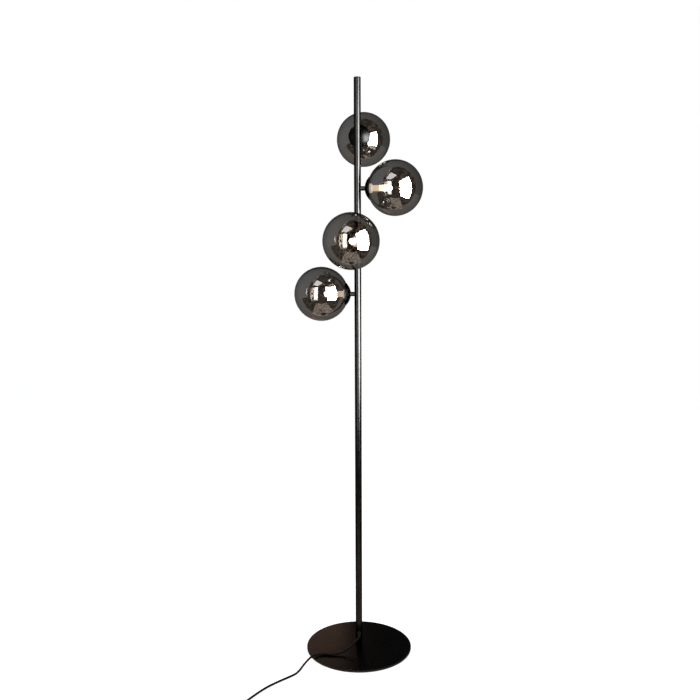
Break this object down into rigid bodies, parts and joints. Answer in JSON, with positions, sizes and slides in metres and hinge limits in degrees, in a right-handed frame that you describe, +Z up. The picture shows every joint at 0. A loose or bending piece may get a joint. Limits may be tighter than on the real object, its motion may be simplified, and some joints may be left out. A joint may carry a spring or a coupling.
{
  "type": "globe floor lamp",
  "caption": "Floor lamp with smoked glass globes on short arms set in a spiral round a thin black pole, on a flat disc base, with a mains lead and foot switch.",
  "frame": {"origin": "centre of the base's underside, on the floor", "axes": "+Z up along the pole; +Y along the highest arm, +X along the second, -Y along the third and -X along the lowest"},
  "size_m": [0.4221, 0.6158, 1.6],
  "materials": {
    "coat_black": "satin black powder coat",
    "foam_black": "dense matt foam",
    "steel_zinc": "zinc plated",
    "rubber_black": "smooth matt moulding",
    "cord_black": "soft satin sheath",
    "plastic_white": "moulded",
    "wire_clear": "silicone sleeved",
    "plastic_black": "fine moulded grain",
    "pin_nickel": "nickel plated",
    "ceramic_white": "glazed",
    "silicone_clear": "translucent",
    "glass_smoked": "smoked, half mirrored",
    "glass_clear": "clear",
    "chip_amber": "lit light chips"
  },
  "bodies": {
    "lamp": {"base_pad": "foam_black", "base_plate": "coat_black", "base_screw": "steel_zinc", "pole_foot": "steel_zinc", "pole_lower": "coat_black", "pole_middle": "coat_black", "pole_upper": "coat_black", "pole_sockets": "steel_zinc", "pole_nipples": "steel_zinc", "pole_cap": "coat_black", "arm_nipples": "steel_zinc", "arm_nuts": "steel_zinc", "strain_relief": "rubber_black", "inner_lead": "cord_black", "splice_block": "plastic_white", "lamp_wires": "wire_clear", "cord_run": "cord_black", "cord_lead": "cord_black", "cord_coil": "cord_black", "cord_tail": "cord_black", "switch_base": "plastic_black", "switch_cover": "plastic_black", "switch_contacts": "plastic_white", "switch_spring": "steel_zinc", "switch_screws": "steel_zinc", "plug_body": "rubber_black", "plug_pins": "pin_nickel", "arm_tube_1": "coat_black", "cup_1": "coat_black", "lampholder_1": "ceramic_white", "arm_tube_2": "coat_black", "cup_2": "coat_black", "lampholder_2": "ceramic_white", "arm_tube_3": "coat_black", "cup_3": "coat_black", "lampholder_3": "ceramic_white", "arm_tube_4": "coat_black", "cup_4": "coat_black", "lampholder_4": "ceramic_white"},
    "gasket_1": {"glass_gasket_1": "silicone_clear"},
    "glass_1": {"globe_1": "glass_smoked"},
    "bulb_1": {"bulb_base_1": "ceramic_white", "bulb_cover_1": "glass_clear", "bulb_core_1": "chip_amber"},
    "gasket_2": {"glass_gasket_2": "silicone_clear"},
    "glass_2": {"globe_2": "glass_smoked"},
    "bulb_2": {"bulb_base_2": "ceramic_white", "bulb_cover_2": "glass_clear", "bulb_core_2": "chip_amber"},
    "gasket_3": {"glass_gasket_3": "silicone_clear"},
    "glass_3": {"globe_3": "glass_smoked"},
    "bulb_3": {"bulb_base_3": "ceramic_white", "bulb_cover_3": "glass_clear", "bulb_core_3": "chip_amber"},
    "gasket_4": {"glass_gasket_4": "silicone_clear"},
    "glass_4": {"globe_4": "glass_smoked"},
    "bulb_4": {"bulb_base_4": "ceramic_white", "bulb_cover_4": "glass_clear", "bulb_core_4": "chip_amber"},
    "button": {"switch_button": "plastic_black"}
  },
  "joints": [
    {"name": "globe_1_unscrew", "type": "hinge", "parent": "lamp", "child": "gasket_1", "pos_m": [0, 0.03, 1.4502], "axis": [0, 1, 0], "range_deg": [0, 540]},
    {"name": "globe_1_lift_off", "type": "slide", "parent": "gasket_1", "child": "glass_1", "axis": [0, 1, 0], "range_m": [0, 0.08]},
    {"name": "bulb_1_pull", "type": "slide", "parent": "lamp", "child": "bulb_1", "axis": [0, 1, 0], "range_m": [0, 0.012]},
    {"name": "globe_2_unscrew", "type": "hinge", "parent": "lamp", "child": "gasket_2", "pos_m": [0.03, 0, 1.3073], "axis": [1, 0, 0], "range_deg": [0, 540]},
    {"name": "globe_2_lift_off", "type": "slide", "parent": "gasket_2", "child": "glass_2", "axis": [1, 0, 0], "range_m": [0, 0.08]},
    {"name": "bulb_2_pull", "type": "slide", "parent": "lamp", "child": "bulb_2", "axis": [1, 0, 0], "range_m": [0, 0.012]},
    {"name": "globe_3_unscrew", "type": "hinge", "parent": "lamp", "child": "gasket_3", "pos_m": [0, -0.03, 1.1644], "axis": [0, -1, 0], "range_deg": [0, 540]},
    {"name": "globe_3_lift_off", "type": "slide", "parent": "gasket_3", "child": "glass_3", "axis": [0, -1, 0], "range_m": [0, 0.08]},
    {"name": "bulb_3_pull", "type": "slide", "parent": "lamp", "child": "bulb_3", "axis": [0, -1, 0], "range_m": [0, 0.012]},
    {"name": "globe_4_unscrew", "type": "hinge", "parent": "lamp", "child": "gasket_4", "pos_m": [-0.03, 0, 1.0215], "axis": [-1, 0, 0], "range_deg": [0, 540]},
    {"name": "globe_4_lift_off", "type": "slide", "parent": "gasket_4", "child": "glass_4", "axis": [-1, 0, 0], "range_m": [0, 0.08]},
    {"name": "bulb_4_pull", "type": "slide", "parent": "lamp", "child": "bulb_4", "axis": [-1, 0, 0], "range_m": [0, 0.012]},
    {"name": "switch_press", "type": "slide", "parent": "lamp", "child": "button", "axis": [0, 0, -1], "range_m": [0, 0.003], "stiffness_N_per_m": 1200, "springref_m": -0.003, "deforming": ["switch_spring"]}
  ]
}
